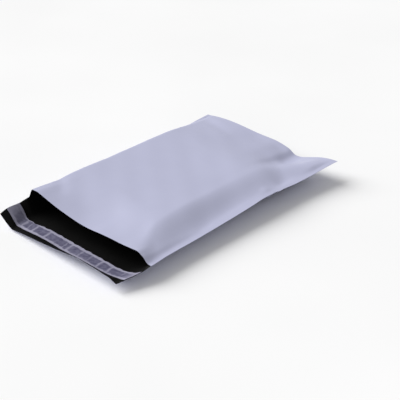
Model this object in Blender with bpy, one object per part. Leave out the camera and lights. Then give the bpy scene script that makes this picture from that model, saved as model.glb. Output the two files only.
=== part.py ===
"""Poly mailer bag, opened and slightly puffed, lying on its back film.

One length of film is folded at the closed end and welded along both sides. The back film runs on past
the mouth as a lip, which carries a hot-melt adhesive strip under a release liner.
Units are metres. +X runs from the left weld to the right weld, +Y towards the closed end, +Z up.
The origin is under the middle of the bag, on the surface that it lies on.
"""

import math

import bmesh
import bpy
from mathutils import Vector

# Driving dimensions
FLAT_WIDTH = 0.250
LYING_LENGTH = 0.346
LIP_DEPTH = 0.046
FILM = 0.0005
WELD = 0.004
LINER_WIDTH = 0.023
LINER_INSET = 0.0115
LINER_THICK = 0.0004
ADHESIVE_WIDTH = 0.015
ADHESIVE_THICK = 0.0004
GAP = 0.0003
LINER_EDGE = -LINER_INSET
LINER_EDGE_OUT = -LINER_INSET - LINER_WIDTH

# Places along Y
MOUTH_Y = -(LYING_LENGTH - LIP_DEPTH) / 2

# How the opened film lies: pairs of (distance from the mouth, value)
DRAWN_IN_LEFT = ((-0.046, 0.008), (0.000, 0.004), (0.100, 0.004), (0.250, 0.003), (0.346, 0.000))
DRAWN_IN_RIGHT = ((-0.046, 0.008), (0.000, 0.001), (0.030, 0.003), (0.200, 0.003), (0.346, 0.001))
LEFT_WELD_HEIGHT = ((-0.046, 0.017), (0.000, 0.019), (0.100, 0.018), (0.250, 0.018), (0.346, 0.021))
RIGHT_WELD_HEIGHT = ((-0.046, 0.011), (0.000, 0.018), (0.080, 0.019), (0.200, 0.024), (0.260, 0.022),
                     (0.346, 0.027))
CROWN_HEIGHT = ((0.000, 0.026), (0.060, 0.035), (0.150, 0.036), (0.250, 0.034), (0.346, 0.026))
SLOPE_START = ((0.000, 0.100), (0.080, 0.060), (0.150, 0.055), (0.280, 0.060), (0.346, 0.075))
SLOPE_END = ((0.000, 0.119), (0.080, 0.112), (0.150, 0.106), (0.240, 0.103), (0.346, 0.100))
LEFT_CURL = ((-0.046, 0.023), (-0.012, 0.013), (0.000, 0.014), (0.030, 0.018), (0.346, 0.018))

# Height of the bottom fold: pairs of (place across the bag, value)
FOLD_HEIGHT = ((-0.125, 0.021), (-0.087, 0.024), (-0.020, 0.022), (0.023, 0.020), (0.040, 0.018),
               (0.075, 0.020), (0.124, 0.027))

# Rolled left side, curled right side and raised closed end
LEFT_ROLL = 0.012
RIGHT_CURL = 0.040
END_CURL = 0.050
END_TAPER = 0.080
LIP_CURL_POWER = 1.4
BACK_CURL_POWER = 2.0

# Wave across the mouth: a high left shoulder and a low middle, fading into the bag
SHOULDER_X = -0.100
SHOULDER_RISE = 0.011
SHOULDER_SPREAD = 0.045
MOUTH_DIP_X = 0.005
MOUTH_DIP = 0.003
MOUTH_DIP_SPREAD = 0.050
MOUTH_WAVE_REACH = 0.070

# The lip's front edge curls up, not at the left but in the middle and most at the right
LIP_LIFT = ((-0.125, 0.000), (-0.090, 0.000), (0.030, 0.0115), (0.080, 0.014), (0.125, 0.012))
LIP_LIFT_POWER = 4.0
LIP_FULL_HEIGHT = 0.018

# Mesh density, and the rows across the lip: its front edge, crest, strips and mouth
ROLL_COLUMNS = 5
FLAT_COLUMNS = 13
CURL_COLUMNS = 5
POUCH_ROWS = 16
SHARP_ANGLE = 50.0
LIP_STATIONS = (-LIP_DEPTH, (LINER_EDGE_OUT - LIP_DEPTH) / 2, LINER_EDGE_OUT,
                -LINER_INSET - (LINER_WIDTH + ADHESIVE_WIDTH) / 2, -LINER_INSET - LINER_WIDTH / 2,
                -LINER_INSET - (LINER_WIDTH - ADHESIVE_WIDTH) / 2, LINER_EDGE, LINER_EDGE / 2, 0.0)
LINER_FIRST, LINER_LAST = 2, 6
ADHESIVE_FIRST, ADHESIVE_LAST = 3, 5


def smooth(start, end, value):
    """0 before start, 1 after end, with an eased ramp between them."""
    ramp = min(max((value - start) / (end - start), 0.0), 1.0)
    return ramp * ramp * (3.0 - 2.0 * ramp)


def bell(centre, spread, value):
    """1 at the centre, fading to 0 on both sides."""
    return math.exp(-((value - centre) / spread) ** 2)


def along(pairs, distance):
    """Value at a distance from the mouth, on a smooth curve through the pairs."""
    last = len(pairs) - 1
    k = 0
    while k < last - 1 and distance > pairs[k + 1][0]:
        k += 1
    (d0, v0), (d1, v1) = pairs[k], pairs[k + 1]
    before = pairs[max(k - 1, 0)]
    after = pairs[min(k + 2, last)]
    span = d1 - d0
    slope0 = (v1 - before[1]) / (d1 - before[0])
    slope1 = (after[1] - v0) / (after[0] - d0)
    t = min(max((distance - d0) / span, 0.0), 1.0)
    return (v0 * (1 + 2 * t) * (1 - t) ** 2 + slope0 * span * t * (1 - t) ** 2
            + v1 * t * t * (3 - 2 * t) - slope1 * span * t * t * (1 - t))


def left_edge(distance):
    return -FLAT_WIDTH / 2 + along(DRAWN_IN_LEFT, distance)


def right_edge(distance):
    return FLAT_WIDTH / 2 - along(DRAWN_IN_RIGHT, distance)


def rolled(distance_in, radius):
    """Rise of a quarter roll, from 0 at the weld to 1 one radius in."""
    t = min(max(distance_in / radius, 0.0), 1.0)
    return math.sqrt(1.0 - (1.0 - t) ** 2)


def curled(distance_in, width, power):
    """Fall of a curled edge, from 1 at the edge to 0 one width in."""
    t = min(max(distance_in / width, 0.0), 1.0)
    return (1.0 - t) ** power


def columns(distance):
    """X places across the film at one distance from the mouth, from edge to edge."""
    left = left_edge(distance)
    right = right_edge(distance)
    roll_start = left + WELD
    flat_start = roll_start + LEFT_ROLL
    curl_start = right - WELD - RIGHT_CURL
    places = [left, roll_start]
    for k in range(1, ROLL_COLUMNS + 1):
        angle = math.pi / 2 * k / ROLL_COLUMNS
        places.append(roll_start + LEFT_ROLL * (1 - math.cos(angle)))
    for k in range(1, FLAT_COLUMNS + 1):
        places.append(flat_start + (curl_start - flat_start) * k / FLAT_COLUMNS)
    for k in range(1, CURL_COLUMNS + 1):
        places.append(curl_start + RIGHT_CURL * k / CURL_COLUMNS)
    places.append(right)
    return places


def back_middle(x, distance):
    """Mid-height of the back film: flat on the surface, curling up to both welds and to the fold."""
    in_pouch = smooth(LINER_EDGE, 0.0, distance)
    power = LIP_CURL_POWER + (BACK_CURL_POWER - LIP_CURL_POWER) * in_pouch
    left = left_edge(distance) + WELD * in_pouch
    right = right_edge(distance) - WELD * in_pouch
    side = max(curled(x - left, along(LEFT_CURL, distance), power),
               curled(right - x, RIGHT_CURL, BACK_CURL_POWER))
    side_height = along(LEFT_WELD_HEIGHT if x < 0 else RIGHT_WELD_HEIGHT, distance)
    end = curled(LYING_LENGTH - distance, END_CURL, BACK_CURL_POWER)
    share = end / (side + end) if side + end > 0 else 0.0
    top = side_height + (along(FOLD_HEIGHT, x) - side_height) * share
    low = FILM / 2
    return low + (top - low) * (1.0 - (1.0 - side) * (1.0 - end))


def lip_middle(x, distance):
    """Mid-height of the lip: the back film's section, with its front edge curling up."""
    base = back_middle(x, distance)
    lift = along(LIP_LIFT, x) * (-distance / LIP_DEPTH) ** LIP_LIFT_POWER
    return base + lift * max(1.0 - base / LIP_FULL_HEIGHT, 0.0)


def front_middle(x, distance):
    """Mid-height of the front film: welds, rolled left side, low plateau and right slope."""
    left_height = along(LEFT_WELD_HEIGHT, distance)
    right_height = along(RIGHT_WELD_HEIGHT, distance)
    mouth_share = 1.0 - smooth(0.0, MOUTH_WAVE_REACH, distance)
    plateau = along(CROWN_HEIGHT, distance)
    plateau += SHOULDER_RISE * bell(SHOULDER_X, SHOULDER_SPREAD, x) * mouth_share
    plateau -= MOUTH_DIP * bell(MOUTH_DIP_X, MOUTH_DIP_SPREAD, x) * mouth_share
    fold = along(FOLD_HEIGHT, x)
    taper = rolled(LYING_LENGTH - distance, END_TAPER)
    plateau = fold + (plateau - fold) * taper
    flange = right_height + FILM
    slope = smooth(along(SLOPE_START, distance), along(SLOPE_END, distance), x)
    body = plateau + (flange - plateau) * slope * taper
    inside = x - left_edge(distance) - WELD
    roll = rolled(inside, LEFT_ROLL)
    edge = right_edge(distance) - WELD
    pinch = smooth(edge - 0.010, edge, x)
    height = left_height + (body - left_height) * roll
    height += (right_height + FILM / 2 - height) * pinch
    return max(height, back_middle(x, distance) + FILM)


def normals(grid):
    """Upward unit normal at each point of a grid of points."""
    rows = len(grid)
    cols = len(grid[0])
    result = []
    for j in range(rows):
        line = []
        for i in range(cols):
            across = grid[j][min(i + 1, cols - 1)] - grid[j][max(i - 1, 0)]
            lengthwise = grid[min(j + 1, rows - 1)][i] - grid[max(j - 1, 0)][i]
            line.append(across.cross(lengthwise).normalized())
        result.append(line)
    return result


def film_grid(height, distances):
    """Points of a film's middle surface over all columns, one row for each distance."""
    return [[Vector((x, MOUTH_Y + distance, height(x, distance))) for x in columns(distance)]
            for distance in distances]


def shifted(grid, amount):
    """The grid moved along its own normals."""
    slants = normals(grid)
    return [[point + slants[j][i] * amount for i, point in enumerate(line)]
            for j, line in enumerate(grid)]


class Shell:
    """Collects shared points and faces for one closed mesh."""

    def __init__(self):
        self.points = []
        self.faces = []

    def add(self, grid):
        """Add a grid of points and return their numbers, row by row."""
        numbers = []
        for line in grid:
            first = len(self.points)
            self.points.extend(line)
            numbers.append(list(range(first, first + len(line))))
        return numbers

    def sheet(self, rows, upward):
        """Triangle pairs over a grid of numbers, all split the same way, facing up or down."""
        for lower, upper in zip(rows, rows[1:]):
            for i in range(len(lower) - 1):
                for face in ([lower[i], lower[i + 1], upper[i + 1]], [lower[i], upper[i + 1], upper[i]]):
                    self.faces.append(face if upward else face[::-1])

    def wall(self, top, bottom, flipped=False):
        """Quads between two lines of numbers, facing the side from which both run to the right."""
        for i in range(len(top) - 1):
            face = [bottom[i], bottom[i + 1], top[i + 1], top[i]]
            self.faces.append(face[::-1] if flipped else face)

    def slab(self, upper, lower):
        """All six sides of a thin slab between two grids of numbers."""
        self.sheet(upper, True)
        self.sheet(lower, False)
        self.wall(upper[0], lower[0])
        self.wall(upper[-1], lower[-1], flipped=True)
        self.wall([line[-1] for line in upper], [line[-1] for line in lower])
        self.wall([line[0] for line in upper], [line[0] for line in lower], flipped=True)

    def make(self, name, material):
        """Turn the shell into a named object, without the points that no face uses."""
        mesh = bpy.data.meshes.new(name)
        mesh.from_pydata(self.points, [], self.faces)
        work = bmesh.new()
        work.from_mesh(mesh)
        loose = [point for point in work.verts if not point.link_faces]
        bmesh.ops.delete(work, geom=loose, context="VERTS")
        work.to_mesh(mesh)
        work.free()
        mesh.materials.append(material)
        mesh.shade_smooth()
        mesh.set_sharp_from_angle(angle=math.radians(SHARP_ANGLE))
        made = bpy.data.objects.new(name, mesh)
        bpy.context.scene.collection.objects.link(made)
        return made


def plain_material(name, colour, roughness):
    """Opaque plastic or paper of one colour."""
    material = bpy.data.materials.new(name)
    material.use_nodes = True
    shader = material.node_tree.nodes["Principled BSDF"]
    shader.inputs["Base Color"].default_value = (*colour, 1.0)
    shader.inputs["Roughness"].default_value = roughness
    shader.inputs["Metallic"].default_value = 0.0
    return material


def pouch_stations():
    """Distances from the mouth to the fold, with a last row across the fold itself."""
    inner = LYING_LENGTH - WELD
    return [inner * j / POUCH_ROWS for j in range(POUCH_ROWS + 1)] + [LYING_LENGTH]


def lip_and_back():
    """Middle of the back film, from the lip's front edge to the fold."""
    return film_grid(lip_middle, LIP_STATIONS[:-1]) + film_grid(back_middle, pouch_stations())


def make_bag_film():
    """The pouch and its lip as one closed shell, open at the mouth."""
    front = film_grid(front_middle, pouch_stations())
    back = lip_and_back()
    mouth = len(LIP_STATIONS) - 1
    last = len(front[0]) - 1
    shell = Shell()
    outside = shell.add(shifted(front, FILM / 2))
    inside = shell.add(shifted(front, -FILM / 2))
    over = shell.add(shifted(back, FILM / 2))
    under = shell.add(shifted(back, -FILM / 2))

    # The two films share their inner points along both welds and along the bottom fold.
    for j in range(POUCH_ROWS + 1):
        shared = range(last + 1) if j == POUCH_ROWS else (0, 1, last - 1, last)
        for i in shared:
            inside[j][i] = over[mouth + j][i]

    shell.sheet(outside, True)
    shell.sheet(under, False)
    shell.sheet(over[:mouth + 1], True)
    shell.sheet([line[1:last] for line in over[mouth:mouth + POUCH_ROWS + 1]], True)
    shell.sheet([line[1:last] for line in inside[:POUCH_ROWS + 1]], False)
    shell.wall(outside[0], inside[0])
    shell.wall(outside[-1], under[-1], flipped=True)
    shell.wall(over[0], under[0])
    for i in (0, last):
        flipped = i == 0
        edge_under = [line[i] for line in under]
        edge_over = [line[i] for line in over[:mouth + 1]]
        edge_outside = [line[i] for line in outside]
        shell.wall(edge_over, edge_under[:mouth + 1], flipped)
        shell.wall(edge_outside[1:], edge_under[mouth + 1:], flipped)
        corner = [edge_under[mouth], edge_under[mouth + 1], edge_outside[1], edge_outside[0],
                  edge_over[mouth]]
        shell.faces.append(corner[::-1] if flipped else corner)
    return shell.make("bag_film", plain_material("silver_grey_film", (0.49, 0.50, 0.66), 0.45))


def make_strip(name, first_row, last_row, clearance, thick, material):
    """A strip over some rows of the lip, with a clearance between it and the film."""
    middle = lip_and_back()
    low = FILM / 2 + clearance
    shell = Shell()
    upper = shell.add(shifted(middle, low + thick)[first_row:last_row + 1])
    lower = shell.add(shifted(middle, low)[first_row:last_row + 1])
    shell.slab(upper, lower)
    return shell.make(name, material)


def main():
    for item in list(bpy.data.objects):
        bpy.data.objects.remove(item)
    make_bag_film()
    make_strip("adhesive_strip", ADHESIVE_FIRST, ADHESIVE_LAST, GAP, ADHESIVE_THICK,
               plain_material("hot_melt", (0.14, 0.13, 0.20), 0.30))
    make_strip("release_liner", LINER_FIRST, LINER_LAST, 2 * GAP + ADHESIVE_THICK, LINER_THICK,
               plain_material("frosted_liner", (0.35, 0.34, 0.44), 0.35))


main()
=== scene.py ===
"""Looks of a poly mailer bag that lies open on a pale floor.

The film is one thin closed shell: silver-grey outside, black inside, welded along both sides and folded
at the closed end, with a lip that carries the adhesive and its release liner. Units are metres.
"""
import math

import bpy
import numpy as np
from mathutils import Matrix, Vector


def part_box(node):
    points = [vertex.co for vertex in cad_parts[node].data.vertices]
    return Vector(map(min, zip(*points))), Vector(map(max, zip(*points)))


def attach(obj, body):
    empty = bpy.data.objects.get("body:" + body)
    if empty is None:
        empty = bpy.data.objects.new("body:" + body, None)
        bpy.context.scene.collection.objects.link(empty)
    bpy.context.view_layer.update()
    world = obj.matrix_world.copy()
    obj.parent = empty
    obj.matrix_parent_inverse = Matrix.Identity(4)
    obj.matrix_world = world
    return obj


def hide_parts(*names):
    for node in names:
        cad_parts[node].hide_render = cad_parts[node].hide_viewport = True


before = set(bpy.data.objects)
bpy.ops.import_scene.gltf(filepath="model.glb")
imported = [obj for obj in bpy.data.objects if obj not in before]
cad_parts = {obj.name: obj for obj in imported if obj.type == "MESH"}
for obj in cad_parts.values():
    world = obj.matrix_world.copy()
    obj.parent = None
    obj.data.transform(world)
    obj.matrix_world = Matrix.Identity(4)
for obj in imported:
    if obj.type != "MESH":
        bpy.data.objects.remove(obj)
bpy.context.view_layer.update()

_, FILM_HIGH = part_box("bag_film")

# Driving dimensions
LYING_LENGTH = 0.346
LIP_DEPTH = 0.046
FLAT_WIDTH = 0.250
FILM = 0.00016
WELD = 0.004
LINER_WIDTH = 0.023
LINER_INSET = 0.0115
ADHESIVE_WIDTH = 0.015
ADHESIVE_INSET = (LINER_WIDTH - ADHESIVE_WIDTH) / 2
LINER_THICK = 0.00012
LINER_LIFT = 0.00055
ADHESIVE_THICK = 0.00020
ADHESIVE_LIFT = 0.00020
MOUTH_Y = FILM_HIGH[1] - LYING_LENGTH
LINER_EDGE = -LINER_INSET
LINER_EDGE_OUT = -LINER_INSET - LINER_WIDTH

# The liner's inner edge sags towards the front near the left curl
LINER_SAG = 0.0034
LINER_SAG_X = -0.088
LINER_SAG_SPREAD = 0.020

# Scalloped long edges of both strips: waves as (wavelength, share, phase), weaker at the outer edge
SCALLOPS = ((0.0190, 1.0, 0.0), (0.0113, 0.7, 1.3))
SCALLOP_OUTER_SHARE = 0.4
LINER_WOBBLE = 0.00045
ADHESIVE_WOBBLE = 0.0002

# How the adhesive shows through the liner: a band with pale lines as (across, half-width, paleness)
BAND_WIDTH = 0.0145
BAND_INNER_Y = MOUTH_Y + LINER_EDGE - ADHESIVE_INSET
BAND_LEAN = 0.30
BAND_GAPS = (
    (-0.1165, 0.0068, 1.00),
    (-0.0945, 0.0032, 0.90),
    (-0.0840, 0.0014, 0.55),
    (-0.0735, 0.0030, 0.90),
    (-0.0480, 0.0030, 0.95),
    (-0.0115, 0.0016, 0.70),
    (-0.0030, 0.0034, 0.90),
    (0.0190, 0.0024, 0.65),
    (0.0360, 0.0020, 0.50),
    (0.0550, 0.0028, 0.90),
    (0.0735, 0.0028, 0.90),
    (0.0980, 0.0014, 0.45),
    (0.1180, 0.0062, 1.00),
)
BAND_EDGE = 0.0010
BAND_RAGGED = 0.0075
BAND_RAGGED_SIDES = 0.33
BAND_RAGGED_GAPS = 0.45

# The liner and the adhesive stop a little short of the right edge
STRIP_SHORT = 0.0018
STRIP_SHORT_FROM = 0.095
STRIP_SHORT_TO = 0.114

# How the opened film lies: pairs of (distance from the mouth, value)
DRAWN_IN_LEFT = ((-0.046, 0.0100), (-0.034, 0.0085), (-0.012, 0.0060), (0.000, 0.0048), (0.030, 0.0040),
                 (0.100, 0.0040), (0.250, 0.0030), (0.346, 0.0000))
DRAWN_IN_RIGHT = ((-0.046, 0.0105), (-0.034, 0.0080), (-0.012, 0.0030), (0.000, 0.0010), (0.030, 0.0030),
                  (0.080, 0.0045), (0.200, 0.0065), (0.260, 0.0055), (0.300, 0.0035), (0.346, -0.0003))
LEFT_WELD_HEIGHT = ((-0.046, 0.0166), (-0.034, 0.0190), (-0.012, 0.0175), (0.000, 0.0185), (0.100, 0.0175),
                    (0.250, 0.0190), (0.346, 0.0230))
LEFT_WELD_TILT = ((-0.046, 0.0000), (-0.022, 0.0000), (0.000, 0.0030), (0.030, 0.0032), (0.080, 0.0015),
                  (0.150, 0.0000), (0.346, 0.0000))
RIGHT_WELD_HEIGHT = ((-0.046, 0.0110), (-0.012, 0.0165), (0.000, 0.0200), (0.080, 0.0206), (0.140, 0.0223),
                     (0.180, 0.0244), (0.205, 0.0264), (0.240, 0.0252), (0.265, 0.0237), (0.310, 0.0256),
                     (0.346, 0.0288))
CROWN_HEIGHT = ((0.000, 0.028), (0.060, 0.0345), (0.150, 0.0347), (0.250, 0.034), (0.346, 0.027))
SLOPE_START = ((0.000, 0.092), (0.020, 0.083), (0.050, 0.071), (0.090, 0.066), (0.150, 0.064),
               (0.240, 0.065), (0.270, 0.066), (0.290, 0.072), (0.310, 0.080), (0.346, 0.088))
SLOPE_END = ((0.000, 0.130), (0.030, 0.126), (0.060, 0.119), (0.100, 0.111), (0.150, 0.107), (0.240, 0.109),
             (0.270, 0.106), (0.290, 0.112), (0.310, 0.121), (0.346, 0.126))
LEFT_CURL = ((-0.046, 0.024), (-0.034, 0.019), (-0.012, 0.015), (0.000, 0.014), (0.030, 0.018),
             (0.346, 0.018))
LEFT_CURL_POWER = ((-0.046, 1.15), (-0.034, 1.0), (-0.012, 1.5), (0.000, 2.0), (0.346, 2.0))
RIGHT_CURL = ((-0.046, 0.052), (-0.012, 0.052), (0.000, 0.044), (0.030, 0.040), (0.346, 0.040))
RIGHT_CURL_POWER = ((-0.046, 2.2), (-0.012, 2.3), (0.000, 2.0), (0.346, 2.0))

# Across the bag: pairs of (place, value) for the fold's height, for how far the fold is drawn in, and for
# where the bag thins towards it
FOLD_HEIGHT = ((-0.125, 0.0235), (-0.110, 0.0254), (-0.085, 0.0277), (-0.058, 0.0279), (-0.018, 0.0257),
               (0.015, 0.0252), (0.032, 0.0228), (0.043, 0.0206), (0.053, 0.0160), (0.064, 0.0163),
               (0.080, 0.0210), (0.096, 0.0252), (0.112, 0.0280), (0.124, 0.0288))
FOLD_DRAWN_IN = ((-0.125, 0.0000), (-0.058, 0.0015), (0.030, 0.0020), (0.053, 0.0040), (0.075, 0.0038),
                 (0.100, 0.0018), (0.125, 0.0000))
FOLD_DRAW_REACH = 0.100
FOLD_BLEND = 0.032
RELIEF_FADE = 0.012
END_START = ((-0.125, 0.262), (-0.060, 0.250), (0.000, 0.235), (0.125, 0.235))
END_STOP = ((-0.125, 0.354), (0.050, 0.350), (0.125, 0.340))

# Rolled left side, eased right weld and raised closed end; at the mouth the roll is a wider, softer bend
LEFT_ROLL = 0.012
MOUTH_ROLL = 0.0125
MOUTH_ROLL_REACH = 0.090
RIGHT_WELD_EASE = 0.010
END_CURL = 0.050
END_CURL_POWER = 2.0

# Mouth edge of the front film across the bag: a high left shoulder, a low middle and a bend at the right,
# and how far into the pouch its shape reaches
MOUTH_EDGE = ((-0.125, 0.0380), (-0.102, 0.0380), (-0.094, 0.0385), (-0.078, 0.0355), (-0.055, 0.0310),
              (-0.033, 0.0275), (-0.011, 0.0250), (0.010, 0.0245), (0.032, 0.0262), (0.053, 0.0280),
              (0.074, 0.0290), (0.094, 0.0306), (0.101, 0.0308), (0.107, 0.0285), (0.113, 0.0255),
              (0.120, 0.0220), (0.125, 0.0200))
MOUTH_REACH = ((-0.125, 0.088), (0.000, 0.080), (0.060, 0.065), (0.100, 0.028), (0.125, 0.022))

# The lip rises towards its front edge: under the liner's outer edge, and at the front edge itself
LINER_RISE = ((-0.125, 0.0000), (-0.100, 0.0000), (-0.079, 0.0004), (-0.050, 0.0030), (-0.026, 0.0036),
              (-0.010, 0.0026), (0.010, 0.0030), (0.031, 0.0042), (0.064, 0.0048), (0.098, 0.0048),
              (0.117, 0.0030), (0.125, 0.0020))
FRONT_RISE = ((-0.125, 0.0000), (-0.100, 0.0010), (-0.090, 0.0022), (-0.074, 0.0043), (-0.052, 0.0066),
              (-0.031, 0.0083), (-0.010, 0.0105), (0.010, 0.0126), (0.030, 0.0154), (0.047, 0.0172),
              (0.064, 0.0171), (0.079, 0.0168), (0.090, 0.0160), (0.104, 0.0140), (0.114, 0.0050),
              (0.125, 0.0040))
LINER_RISE_POWER = 1.5
MARGIN_BEND = 0.0325
MARGIN_POWER = 1.15
LIP_FULL_HEIGHT = 0.018

# Nicked right weld: (distance from the mouth, half-width, how far it draws in)
EDGE_NOTCH = ((0.2255, 0.0050, 0.0009), (0.2330, 0.0035, -0.0011))

# Soft creases in the front film: start and end as (across, from the mouth), half-width and height. Their
# fade stops CREASE_END of their length short of each end.
FRONT_CREASES = (
    ((-0.118, 0.058), (-0.066, 0.018), 0.009, -0.0010),
    ((0.072, 0.302), (0.048, 0.326), 0.008, -0.0010),
    ((-0.005, 0.314), (0.060, 0.310), 0.013, 0.0008),
    ((0.076, 0.278), (0.116, 0.334), 0.021, 0.0022),
    ((0.010, 0.340), (0.048, 0.336), 0.010, -0.0009),
    ((0.121, 0.236), (0.094, 0.266), 0.009, -0.0008),
    ((0.120, 0.226), (0.098, 0.216), 0.007, 0.0008),
    ((-0.122, 0.330), (-0.040, 0.308), 0.010, -0.0012),
)
CREASE_END = 0.04

# Slow waves in the front film: (height, wavelength from the mouth, wavelength across, phase). A negative
# wavelength leans the wave the other way.
UNDULATIONS = (
    (0.00030, 0.131, 0.210, 0.15),
    (0.00022, 0.083, -0.120, 0.40),
    (0.00012, 0.047, 0.061, 0.70),
)

# Puckers along both welds: pairs of (wavelength, height), how their phase shifts with the wavelength, and
# how far they reach in
PUCKERS = ((0.031, 0.00022), (0.0171, 0.00016), (0.0093, 0.00008))
PUCKER_PHASE = 300.0
PUCKER_REACH = 0.011

# Tones of each finish: darker and paler colour
FILM_GREY = ((0.458, 0.469, 0.622), (0.476, 0.488, 0.646))
FILM_BLACK = ((0.0028, 0.0027, 0.0026), (0.0048, 0.0046, 0.0046))
# Cut edge: the grey layer showing, in a tone paler than the film that is a painted highlight of the edge
# catching light
CUT_EDGE_GREY_AND_HIGHLIGHT = ((0.42, 0.43, 0.56), (0.60, 0.61, 0.76))
LINER_PALE = ((0.345, 0.335, 0.440), (0.420, 0.410, 0.525))
LINER_WETTED = ((0.090, 0.086, 0.150), (0.185, 0.180, 0.265))
HOT_MELT = ((0.10, 0.095, 0.15), (0.17, 0.16, 0.23))
FLOOR_WHITE = ((0.90, 0.90, 0.90), (0.93, 0.93, 0.93))
TONE_START = 0.30
TONE_STOP = 0.70

# Floor, light and camera; angles in degrees, and the camera's lens and sensor in millimetres
FLOOR_HALF = 6.0
FLOOR_LEVEL = -0.0003
KEY_PLACE = (-1.84, -0.80, 1.75)
KEY_SPREAD = 50.0
KEY_STRENGTH = 3.0
SURROUND_STRENGTH = 0.42
CAMERA_AZIMUTH = 45.794
CAMERA_ELEVATION = 29.035
CAMERA_ROLL = -1.419
CAMERA_DISTANCE = 1.3249
CAMERA_TARGET = (0.0400, 0.0140, 0.0100)
CAMERA_LENS = 90.0
CAMERA_SENSOR = 36.0

# Mesh density
WELD_COLUMNS = 5
ROLL_COLUMNS = 12
FLAT_COLUMNS = 72
CURL_ZONE = 0.040
CURL_COLUMNS = 20
POUCH_ROWS = 148
LIP_ROWS = 24
LINER_ROWS = 12
ADHESIVE_ROWS = 8
SHARP_ANGLE = 40.0


def smooth(start, end, value):
    """0 before start, 1 after end, with an eased ramp between them."""
    ramp = np.clip((value - start) / (end - start), 0.0, 1.0)
    return ramp * ramp * (3.0 - 2.0 * ramp)


def bell(centre, spread, value):
    """1 at the centre, fading to 0 on both sides."""
    return np.exp(-((value - centre) / spread) ** 2)


def along(pairs, value):
    """Values on a smooth curve through the pairs."""
    places, heights = np.array(pairs).T
    slopes = np.gradient(heights, places, edge_order=1)
    slopes[1:-1] = (heights[2:] - heights[:-2]) / (places[2:] - places[:-2])
    k = np.clip(np.searchsorted(places, value, side="right") - 1, 0, len(places) - 2)
    span = places[k + 1] - places[k]
    t = np.clip((value - places[k]) / span, 0.0, 1.0)
    return (heights[k] * (1 + 2 * t) * (1 - t) ** 2 + slopes[k] * span * t * (1 - t) ** 2
            + heights[k + 1] * t * t * (3 - 2 * t) - slopes[k + 1] * span * t * t * (1 - t))


def rolled(distance_in, radius):
    """Rise of a quarter roll, from 0 at the weld to 1 one radius in."""
    t = np.clip(distance_in / radius, 0.0, 1.0)
    return np.sqrt(1.0 - (1.0 - t) ** 2)


def curled(distance_in, width, power):
    """Fall of a curled edge, from 1 at the edge to 0 one width in."""
    t = np.clip(distance_in / width, 0.0, 1.0)
    return (1.0 - t) ** power


def crease(x, distance, start, end, width, height):
    """Height of a soft crease that fades out at both ends."""
    run = np.array(end) - np.array(start)
    t = ((x - start[0]) * run[0] + (distance - start[1]) * run[1]) / run.dot(run)
    t = np.clip(t, 0.0, 1.0)
    off = np.hypot(x - start[0] - t * run[0], distance - start[1] - t * run[1])
    return height * np.exp(-(off / width) ** 2) * np.sin(math.pi * np.clip(t, CREASE_END, 1.0 - CREASE_END))


def left_edge(distance):
    return -FLAT_WIDTH / 2 + along(DRAWN_IN_LEFT, distance)


def right_edge(distance):
    notch = sum(depth * bell(place, spread, distance) for place, spread, depth in EDGE_NOTCH)
    return FLAT_WIDTH / 2 - along(DRAWN_IN_RIGHT, distance) - notch


def left_weld_tilt(x, distance):
    """How far the left weld turns up from its cut edge, before the front film rolls over it."""
    return along(LEFT_WELD_TILT, distance) * np.clip((x - left_edge(distance)) / WELD, 0.0, 1.0)


def puckers(x, distance):
    """Small ripples that run in from both welds."""
    edge_gap = np.minimum(x - left_edge(distance), right_edge(distance) - x)
    ripple = sum(height * np.sin(2 * math.pi * (distance / length + PUCKER_PHASE * length))
                 for length, height in PUCKERS)
    rise = smooth(0.0, WELD, edge_gap)
    return ripple * rise * np.exp(-edge_gap / PUCKER_REACH)


def undulation(x, distance):
    """Slow, shallow waves of film that has been folded flat and opened."""
    return sum(height * np.sin(2 * math.pi * (distance / lengthwise + x / across + phase))
               for height, lengthwise, across, phase in UNDULATIONS)


def lip_rise(x, distance):
    """Rise of the lip: gentle under the liner, with a bend into the steeper front margin."""
    out = np.clip(-distance, 0.0, LIP_DEPTH)
    gentle = along(LINER_RISE, x) * (out / -LINER_EDGE_OUT) ** LINER_RISE_POWER
    full = along(LINER_RISE, x) * (LIP_DEPTH / -LINER_EDGE_OUT) ** LINER_RISE_POWER
    margin = np.clip((out - MARGIN_BEND) / (LIP_DEPTH - MARGIN_BEND), 0.0, 1.0) ** MARGIN_POWER
    return gentle + (along(FRONT_RISE, x) - full) * margin


def back_height(x, distance):
    """Middle of the back film: flat on the floor, curling up to both welds and the fold, with its lip."""
    in_pouch = smooth(LINER_EDGE, 0.0, distance)
    left = left_edge(distance) + WELD * in_pouch
    right = right_edge(distance) - WELD * in_pouch
    side = np.maximum(curled(x - left, along(LEFT_CURL, distance), along(LEFT_CURL_POWER, distance)),
                      curled(right - x, along(RIGHT_CURL, distance), along(RIGHT_CURL_POWER, distance)))
    left_height = along(LEFT_WELD_HEIGHT, distance) + left_weld_tilt(x, distance)
    side_height = np.where(x < 0, left_height, along(RIGHT_WELD_HEIGHT, distance))
    end = curled(LYING_LENGTH - distance, END_CURL, END_CURL_POWER)
    share = end / np.maximum(side + end, 1e-9)
    top = side_height + (along(FOLD_HEIGHT, x) - side_height) * share
    low = FILM / 2
    base = low + (top - low) * (1.0 - (1.0 - side) * (1.0 - end))
    return base + lip_rise(x, distance) * np.clip(1.0 - base / LIP_FULL_HEIGHT, 0.0, 1.0)


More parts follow.
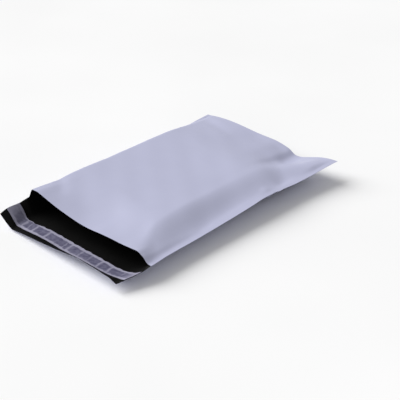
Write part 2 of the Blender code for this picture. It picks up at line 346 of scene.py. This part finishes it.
def body_height(x, distance):
    """Middle of the front film between its welds: plateau, right slope, mouth edge, fold and creases."""
    fold = along(FOLD_HEIGHT, x)
    crown = along(CROWN_HEIGHT, distance)
    crown = crown + (fold - crown) * smooth(along(END_START, x), along(END_STOP, x), distance)
    flange = along(RIGHT_WELD_HEIGHT, distance) + FILM
    body = crown + (flange - crown) * smooth(along(SLOPE_START, distance), along(SLOPE_END, distance), x)
    mouth_share = 1.0 - smooth(0.0, along(MOUTH_REACH, x), distance)
    body = body + (along(MOUTH_EDGE, x) - body) * mouth_share
    body = fold + (body - fold) * smooth(LYING_LENGTH, LYING_LENGTH - FOLD_BLEND, distance)
    relief = undulation(x, distance) + puckers(x, distance)
    for start, end, width, height in FRONT_CREASES:
        relief = relief + crease(x, distance, start, end, width, height)
    return body + relief * smooth(LYING_LENGTH, LYING_LENGTH - RELIEF_FADE, distance)


def front_height(x, distance):
    """Middle of the front film: welds, rolled left side and the body between them."""
    left_height = along(LEFT_WELD_HEIGHT, distance) + left_weld_tilt(x, distance)
    place = x - left_edge(distance) - WELD
    mouth_share = 1.0 - smooth(0.0, MOUTH_ROLL_REACH, distance)
    roll = rolled(place, LEFT_ROLL) * (1.0 - mouth_share) + smooth(0.0, MOUTH_ROLL, place) * mouth_share
    height = left_height + (body_height(x, distance) - left_height) * roll
    edge = right_edge(distance) - WELD
    weld_height = along(RIGHT_WELD_HEIGHT, distance) + FILM / 2
    height = height + (weld_height - height) * smooth(edge - RIGHT_WELD_EASE, edge, x)
    return np.maximum(height, back_height(x, distance) + FILM)


def column_places(distance):
    """X places across the film, one row for each distance from the mouth."""
    left = left_edge(distance)[:, None]
    right = right_edge(distance)[:, None]
    weld = np.linspace(0.0, WELD, WELD_COLUMNS + 1)[None, :-1]
    roll = LEFT_ROLL * (1 - np.cos(np.linspace(0.0, math.pi / 2, ROLL_COLUMNS + 1)))[None, :-1]
    curl_start = right - WELD - CURL_ZONE
    flat_start = left + WELD + LEFT_ROLL
    flat = flat_start + (curl_start - flat_start) * np.linspace(0.0, 1.0, FLAT_COLUMNS + 1)[None, :-1]
    curl = np.linspace(0.0, CURL_ZONE, CURL_COLUMNS + 1)[None, :-1]
    last = np.linspace(0.0, WELD, WELD_COLUMNS + 1)[None, :]
    return np.hstack([left + weld, left + WELD + roll, flat, curl_start + curl, right - WELD + last])


def film_grid(height, distances):
    """Points of a film's middle surface as an array of rows, columns and coordinates."""
    x = column_places(distances)
    reach = np.broadcast_to(distances[:, None], x.shape)
    drawn_in = along(FOLD_DRAWN_IN, x) * smooth(LYING_LENGTH - FOLD_DRAW_REACH, LYING_LENGTH, reach)
    return np.stack([x, MOUTH_Y + reach - drawn_in, height(x, reach)], axis=-1)


def shifted(grid, amount):
    """The grid moved along its own normals."""
    across = np.gradient(grid, axis=1)
    lengthwise = np.gradient(grid, axis=0)
    normal = np.cross(across, lengthwise)
    normal /= np.linalg.norm(normal, axis=-1, keepdims=True)
    return grid + normal * amount


class Shell:
    """Collects points and faces, each with a material number, for one closed mesh."""

    def __init__(self):
        self.points = []
        self.faces = []
        self.finishes = []

    def add(self, grid):
        """Add a grid of points and return their numbers."""
        rows, cols = grid.shape[:2]
        first = sum(len(block) for block in self.points)
        self.points.append(grid.reshape(-1, 3))
        return np.arange(first, first + rows * cols).reshape(rows, cols)

    def face(self, corners, finish, flipped=False):
        self.faces.append(tuple(corners[::-1] if flipped else corners))
        self.finishes.append(finish)

    def sheet(self, rows, upward, finish):
        """Triangle pairs over a grid of numbers, facing up or down, all split along the same diagonal."""
        rows = rows.tolist()
        for lower, upper in zip(rows, rows[1:]):
            for i in range(len(lower) - 1):
                self.face([lower[i], lower[i + 1], upper[i]], finish, not upward)
                self.face([lower[i + 1], upper[i + 1], upper[i]], finish, not upward)

    def wall(self, top, bottom, finish, flipped=False):
        """Quads between two lines of numbers, facing the side from which both run to the right."""
        for i in range(len(top) - 1):
            self.face([int(bottom[i]), int(bottom[i + 1]), int(top[i + 1]), int(top[i])], finish, flipped)

    def slab(self, upper, lower, finish):
        """All six sides of a thin slab between two grids of numbers."""
        self.sheet(upper, True, finish)
        self.sheet(lower, False, finish)
        self.wall(upper[0], lower[0], finish)
        self.wall(upper[-1], lower[-1], finish, flipped=True)
        self.wall(upper[:, -1], lower[:, -1], finish)
        self.wall(upper[:, 0], lower[:, 0], finish, flipped=True)

    def make(self, name, materials):
        """Turn the shell into a named object, keeping only the points that a face uses."""
        points = np.concatenate(self.points)
        used = np.unique(np.concatenate([np.array(face) for face in self.faces]))
        renumber = np.zeros(len(points), dtype=int)
        renumber[used] = np.arange(len(used))
        faces = [tuple(int(renumber[corner]) for corner in face) for face in self.faces]
        mesh = bpy.data.meshes.new(name)
        mesh.from_pydata(points[used].tolist(), [], faces)
        for material in materials:
            mesh.materials.append(material)
        mesh.polygons.foreach_set("material_index", self.finishes)
        mesh.shade_smooth()
        mesh.set_sharp_from_angle(angle=math.radians(SHARP_ANGLE))
        made = bpy.data.objects.new(name, mesh)
        bpy.context.scene.collection.objects.link(made)
        return made


def new_material(name, roughness, specular):
    """A material, with its node tree and its shader."""
    material = bpy.data.materials.new(name)
    material.use_nodes = True
    tree = material.node_tree
    shader = tree.nodes["Principled BSDF"]
    shader.inputs["Roughness"].default_value = roughness
    shader.inputs["Specular IOR Level"].default_value = specular
    return material, tree, shader


def noise(tree, scale, detail, stretch=(1.0, 1.0, 1.0)):
    """Procedural noise in the piece's own metres."""
    place = tree.nodes.new("ShaderNodeTexCoord")
    mapping = tree.nodes.new("ShaderNodeMapping")
    mapping.inputs["Scale"].default_value = stretch
    texture = tree.nodes.new("ShaderNodeTexNoise")
    texture.inputs["Scale"].default_value = scale
    texture.inputs["Detail"].default_value = detail
    tree.links.new(place.outputs["Object"], mapping.inputs["Vector"])
    tree.links.new(mapping.outputs["Vector"], texture.inputs["Vector"])
    return texture.outputs["Fac"]


def ramp(tree, factor, stops):
    """Colour ramp with stops of (place, colour)."""
    node = tree.nodes.new("ShaderNodeValToRGB")
    elements = node.color_ramp.elements
    while len(elements) < len(stops):
        elements.new(0.5)
    for element, (place, colour) in zip(elements, stops):
        element.position = place
        element.color = (*colour, 1.0)
    tree.links.new(factor, node.inputs["Fac"])
    return node.outputs["Color"]


def two_tone(tree, factor, tones):
    """Colour between a darker and a paler tone."""
    darker, paler = tones
    return ramp(tree, factor, ((TONE_START, darker), (TONE_STOP, paler)))


def spread(tree, factor, low, high):
    """A factor from 0 to 1 spread between two numbers."""
    node = tree.nodes.new("ShaderNodeMapRange")
    node.inputs["To Min"].default_value = low
    node.inputs["To Max"].default_value = high
    tree.links.new(factor, node.inputs["Value"])
    return node.outputs["Result"]


def add_bump(tree, shader, layers):
    """Bump from layers of (factor, distance in metres), one over the other."""
    normal = None
    for factor, distance in layers:
        node = tree.nodes.new("ShaderNodeBump")
        node.inputs["Strength"].default_value = 1.0
        node.inputs["Distance"].default_value = distance
        tree.links.new(factor, node.inputs["Height"])
        if normal is not None:
            tree.links.new(normal, node.inputs["Normal"])
        normal = node.outputs["Normal"]
    tree.links.new(normal, shader.inputs["Normal"])


def outside_film():
    """Silver-grey polyethylene: satin, slightly mottled, with faint streaks along the roll."""
    material, tree, shader = new_material("outside_film", roughness=0.42, specular=0.30)
    cloud = noise(tree, scale=14.0, detail=3.0)
    tree.links.new(two_tone(tree, cloud, FILM_GREY), shader.inputs["Base Color"])
    streaks = noise(tree, scale=60.0, detail=4.0, stretch=(4.0, 0.15, 1.0))
    tree.links.new(spread(tree, streaks, low=0.36, high=0.50), shader.inputs["Roughness"])
    add_bump(tree, shader, ((streaks, 0.00006), (noise(tree, scale=700.0, detail=3.0), 0.00004)))
    return material


def inside_film():
    """Black light-proof inner layer of the same film."""
    material, tree, shader = new_material("inside_film", roughness=0.50, specular=0.10)
    cloud = noise(tree, scale=30.0, detail=3.0)
    tree.links.new(two_tone(tree, cloud, FILM_BLACK), shader.inputs["Base Color"])
    fine = noise(tree, scale=350.0, detail=4.0)
    tree.links.new(spread(tree, fine, low=0.42, high=0.58), shader.inputs["Roughness"])
    add_bump(tree, shader, ((fine, 0.00010),))
    return material


def cut_edge_and_painted_highlight():
    """Cut edge of the film, where the grey layer shows, painted paler than the film as a highlight where the
    edge catches light.
    """
    material, tree, shader = new_material("cut_edge_and_painted_highlight", roughness=0.50, specular=0.30)
    grain = noise(tree, scale=900.0, detail=2.0)
    tree.links.new(two_tone(tree, grain, CUT_EDGE_GREY_AND_HIGHLIGHT), shader.inputs["Base Color"])
    add_bump(tree, shader, ((grain, 0.00003),))
    return material


def math_node(tree, kind, *values):
    """Result of one operation on its inputs, each a socket or a number."""
    node = tree.nodes.new("ShaderNodeMath")
    node.operation = kind
    for socket, value in zip(node.inputs, values):
        if isinstance(value, (int, float)):
            socket.default_value = value
        else:
            tree.links.new(value, socket)
    return node.outputs["Value"]


def own_axes(tree):
    """The piece's own X and Y in metres."""
    place = tree.nodes.new("ShaderNodeTexCoord")
    parts = tree.nodes.new("ShaderNodeSeparateXYZ")
    tree.links.new(place.outputs["Object"], parts.inputs["Vector"])
    return parts.outputs["X"], parts.outputs["Y"]


def eased(tree, factor, start, end):
    """0 below start and 1 above end, or the other way round."""
    node = tree.nodes.new("ShaderNodeMapRange")
    node.interpolation_type = "SMOOTHSTEP"
    node.inputs["From Min"].default_value = start
    node.inputs["From Max"].default_value = end
    tree.links.new(factor, node.inputs["Value"])
    return node.outputs["Result"]


def gap_ramp(tree, across, gaps):
    """1 along the band, falling to pale lines at the gaps and to 0 at both ends of the film."""
    stops = [(0.0, (0.0, 0.0, 0.0))]
    for place, half_width, paleness in gaps:
        centre = place / FLAT_WIDTH + 0.5
        pale = 1.0 - paleness
        stops.append((centre - half_width / FLAT_WIDTH, (1.0, 1.0, 1.0)))
        stops.append((centre, (pale, pale, pale)))
        stops.append((centre + half_width / FLAT_WIDTH, (1.0, 1.0, 1.0)))
    stops.append((1.0, (0.0, 0.0, 0.0)))
    return ramp(tree, across, stops)


def adhesive_blocks(tree):
    """Where the adhesive wets the liner: a ragged band, broken by pale lines that lean across it."""
    x, y = own_axes(tree)
    ragged = spread(tree, noise(tree, scale=150.0, detail=5.0), low=-BAND_RAGGED, high=BAND_RAGGED)
    middle_y = BAND_INNER_Y - BAND_WIDTH / 2
    from_middle = math_node(tree, "ABSOLUTE", math_node(tree, "ADD", y, -middle_y))
    ragged_side = math_node(tree, "MULTIPLY", ragged, BAND_RAGGED_SIDES)
    band = eased(tree, math_node(tree, "ADD", from_middle, ragged_side),
                 BAND_WIDTH / 2 + BAND_EDGE, BAND_WIDTH / 2 - BAND_EDGE)
    leaning = math_node(tree, "ADD", x, math_node(tree, "MULTIPLY", y, BAND_LEAN))
    leaning = math_node(tree, "ADD", leaning, math_node(tree, "MULTIPLY", ragged, BAND_RAGGED_GAPS))
    across = math_node(tree, "ADD", math_node(tree, "MULTIPLY", leaning, 1.0 / FLAT_WIDTH),
                       0.5 - BAND_LEAN * middle_y / FLAT_WIDTH)
    # A colour ramp holds 32 stops, so the gaps are shared between two.
    blocks = math_node(tree, "MULTIPLY", gap_ramp(tree, across, BAND_GAPS[::2]),
                       gap_ramp(tree, across, BAND_GAPS[1::2]))
    return math_node(tree, "MULTIPLY", band, blocks)


def liner_finish():
    """Frosted release liner: pale at its borders, darker where the adhesive shows through."""
    material, tree, shader = new_material("frosted_liner", roughness=0.42, specular=0.25)
    grain = noise(tree, scale=190.0, detail=4.0)
    pale = two_tone(tree, grain, LINER_PALE)
    wetted = two_tone(tree, grain, LINER_WETTED)
    mix = tree.nodes.new("ShaderNodeMix")
    mix.data_type = "RGBA"
    tree.links.new(adhesive_blocks(tree), mix.inputs["Factor"])
    tree.links.new(pale, mix.inputs["A"])
    tree.links.new(wetted, mix.inputs["B"])
    tree.links.new(mix.outputs["Result"], shader.inputs["Base Color"])
    add_bump(tree, shader, ((grain, 0.00015),))
    return material


def adhesive_finish():
    """Clear hot-melt over black film."""
    material, tree, shader = new_material("hot_melt", roughness=0.22, specular=0.50)
    grain = noise(tree, scale=240.0, detail=3.0)
    tree.links.new(two_tone(tree, grain, HOT_MELT), shader.inputs["Base Color"])
    add_bump(tree, shader, ((grain, 0.00020),))
    return material


def make_bag_film():
    """The pouch and its lip as one closed shell, open at the mouth."""
    inner_rows = np.linspace(0.0, LYING_LENGTH - WELD, POUCH_ROWS + 1)
    pouch = np.append(inner_rows, LYING_LENGTH)
    lip = np.linspace(-LIP_DEPTH, 0.0, LIP_ROWS + 1)[:-1]
    front = film_grid(front_height, pouch)
    back = film_grid(back_height, np.concatenate([lip, pouch]))
    shell = Shell()
    outside = shell.add(shifted(front, FILM / 2))
    inside = shell.add(shifted(front, -FILM / 2))
    over = shell.add(shifted(back, FILM / 2))
    under = shell.add(shifted(back, -FILM / 2))
    last = outside.shape[1] - 1
    first_in, last_in = WELD_COLUMNS, last - WELD_COLUMNS

    # The films are one body in both welds and in the fold, where they share their inner points.
    pouch_over = over[LIP_ROWS:]
    inside[:, :first_in + 1] = pouch_over[:, :first_in + 1]
    inside[:, last_in:] = pouch_over[:, last_in:]
    inside[POUCH_ROWS:] = pouch_over[POUCH_ROWS:]

    grey, black, rim = 0, 1, 2
    shell.sheet(outside, True, grey)
    shell.sheet(under, False, grey)
    shell.sheet(over[:LIP_ROWS + 1], True, black)
    shell.sheet(pouch_over[:POUCH_ROWS + 1, first_in:last_in + 1], True, black)
    shell.sheet(inside[:POUCH_ROWS + 1, first_in:last_in + 1], False, black)
    # The rim walls take the cut edge finish, with its painted highlight of the edge catching light.
    shell.wall(outside[0], inside[0], rim)
    shell.wall(outside[-1], under[-1], grey, flipped=True)
    shell.wall(over[0], under[0], rim)
    for i in (0, last):
        flipped = i == 0
        shell.wall(over[:LIP_ROWS + 1, i], under[:LIP_ROWS + 1, i], rim, flipped)
        shell.wall(outside[1:, i], under[LIP_ROWS + 1:, i], grey, flipped)
        corner = [int(n) for n in (under[LIP_ROWS, i], under[LIP_ROWS + 1, i], outside[1, i],
                                   outside[0, i], over[LIP_ROWS, i])]
        shell.face(corner, grey, flipped)
    return shell.make("mailer_film", [outside_film(), inside_film(), cut_edge_and_painted_highlight()])


def strip_reach(x, distances, wobble):
    """How far from the mouth each point of a strip lies: scalloped edges, and a sag near the left curl."""
    wave = sum(share * np.sin(2 * math.pi * x / length + phase) for length, share, phase in SCALLOPS)
    towards_mouth = (distances - LINER_EDGE_OUT) / LINER_WIDTH
    sag = LINER_SAG * bell(LINER_SAG_X, LINER_SAG_SPREAD, x) * towards_mouth
    strength = SCALLOP_OUTER_SHARE + (1.0 - SCALLOP_OUTER_SHARE) * towards_mouth
    return distances + wobble * wave * strength - sag


def make_strip(name, outer, inner, rows, lift, thick, wobble, materials):
    """A strip along the lip, a little above the film, with slightly wavy long edges."""
    distances = np.linspace(outer, inner, rows + 1)
    x = column_places(distances)
    x = x - STRIP_SHORT * smooth(STRIP_SHORT_FROM, STRIP_SHORT_TO, x)
    reach = strip_reach(x, distances[:, None], wobble)
    middle = np.stack([x, MOUTH_Y + reach, back_height(x, reach)], axis=-1)
    shell = Shell()
    upper = shell.add(shifted(middle, FILM / 2 + lift + thick))
    lower = shell.add(shifted(middle, FILM / 2 + lift))
    shell.slab(upper, lower, finish=0)
    return shell.make(name, materials)


def make_floor():
    """Plain pale floor."""
    mesh = bpy.data.meshes.new("floor")
    corners = [(x * FLOOR_HALF, y * FLOOR_HALF, FLOOR_LEVEL) for x, y in ((-1, -1), (1, -1), (1, 1), (-1, 1))]
    mesh.from_pydata(corners, [], [(0, 1, 2, 3)])
    floor = bpy.data.objects.new("floor", mesh)
    bpy.context.scene.collection.objects.link(floor)
    material, tree, shader = new_material("pale_floor", roughness=0.80, specular=0.10)
    cloud = noise(tree, scale=3.0, detail=2.0)
    tree.links.new(two_tone(tree, cloud, FLOOR_WHITE), shader.inputs["Base Color"])
    mesh.materials.append(material)


def add_light(name, place, spread_angle, strength):
    """Soft, even light that shines from a place towards the origin."""
    lamp = bpy.data.lights.new(name, "SUN")
    lamp.angle = math.radians(spread_angle)
    lamp.energy = strength
    holder = bpy.data.objects.new(name, lamp)
    holder.location = place
    holder.rotation_euler = Vector(place).to_track_quat("Z", "Y").to_euler()
    bpy.context.scene.collection.objects.link(holder)


def light_studio():
    """A large soft light over the left side and a white surround."""
    add_light("key_light", KEY_PLACE, KEY_SPREAD, KEY_STRENGTH)
    world = bpy.data.worlds.new("surround")
    bpy.context.scene.world = world
    world.use_nodes = True
    background = world.node_tree.nodes["Background"]
    background.inputs["Color"].default_value = (1.0, 1.0, 1.0, 1.0)
    background.inputs["Strength"].default_value = SURROUND_STRENGTH
    bpy.context.scene.view_settings.view_transform = "Standard"


def add_camera():
    """Camera above the right front of the bag, turned a little about its own axis."""
    azimuth = math.radians(CAMERA_AZIMUTH)
    elevation = math.radians(CAMERA_ELEVATION)
    roll = math.radians(CAMERA_ROLL)
    back = Vector((math.sin(azimuth) * math.cos(elevation), -math.cos(azimuth) * math.cos(elevation),
                   math.sin(elevation)))
    right = Vector((math.cos(azimuth), math.sin(azimuth), 0.0))
    up = back.cross(right)
    tilted_right = right * math.cos(roll) + up * math.sin(roll)
    tilted_up = up * math.cos(roll) - right * math.sin(roll)
    lens = bpy.data.cameras.new("camera")
    lens.sensor_width = CAMERA_SENSOR
    lens.lens = CAMERA_LENS
    camera = bpy.data.objects.new("camera", lens)
    axes = Matrix((tilted_right, tilted_up, back)).transposed().to_4x4()
    camera.matrix_world = Matrix.Translation(Vector(CAMERA_TARGET) + back * CAMERA_DISTANCE) @ axes
    bpy.context.scene.collection.objects.link(camera)
    bpy.context.scene.camera = camera


make_floor()
light_studio()
add_camera()

film = make_bag_film()
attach(film, "root")
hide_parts("bag_film")

adhesive = make_strip("hot_melt_band", LINER_EDGE_OUT + ADHESIVE_INSET, LINER_EDGE - ADHESIVE_INSET,
                      ADHESIVE_ROWS, ADHESIVE_LIFT, ADHESIVE_THICK, ADHESIVE_WOBBLE, [adhesive_finish()])
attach(adhesive, "root")
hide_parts("adhesive_strip")

liner = make_strip("peel_off_liner", LINER_EDGE_OUT, LINER_EDGE, LINER_ROWS, LINER_LIFT, LINER_THICK,
                   LINER_WOBBLE, [liner_finish()])
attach(liner, "root")
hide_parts("release_liner")
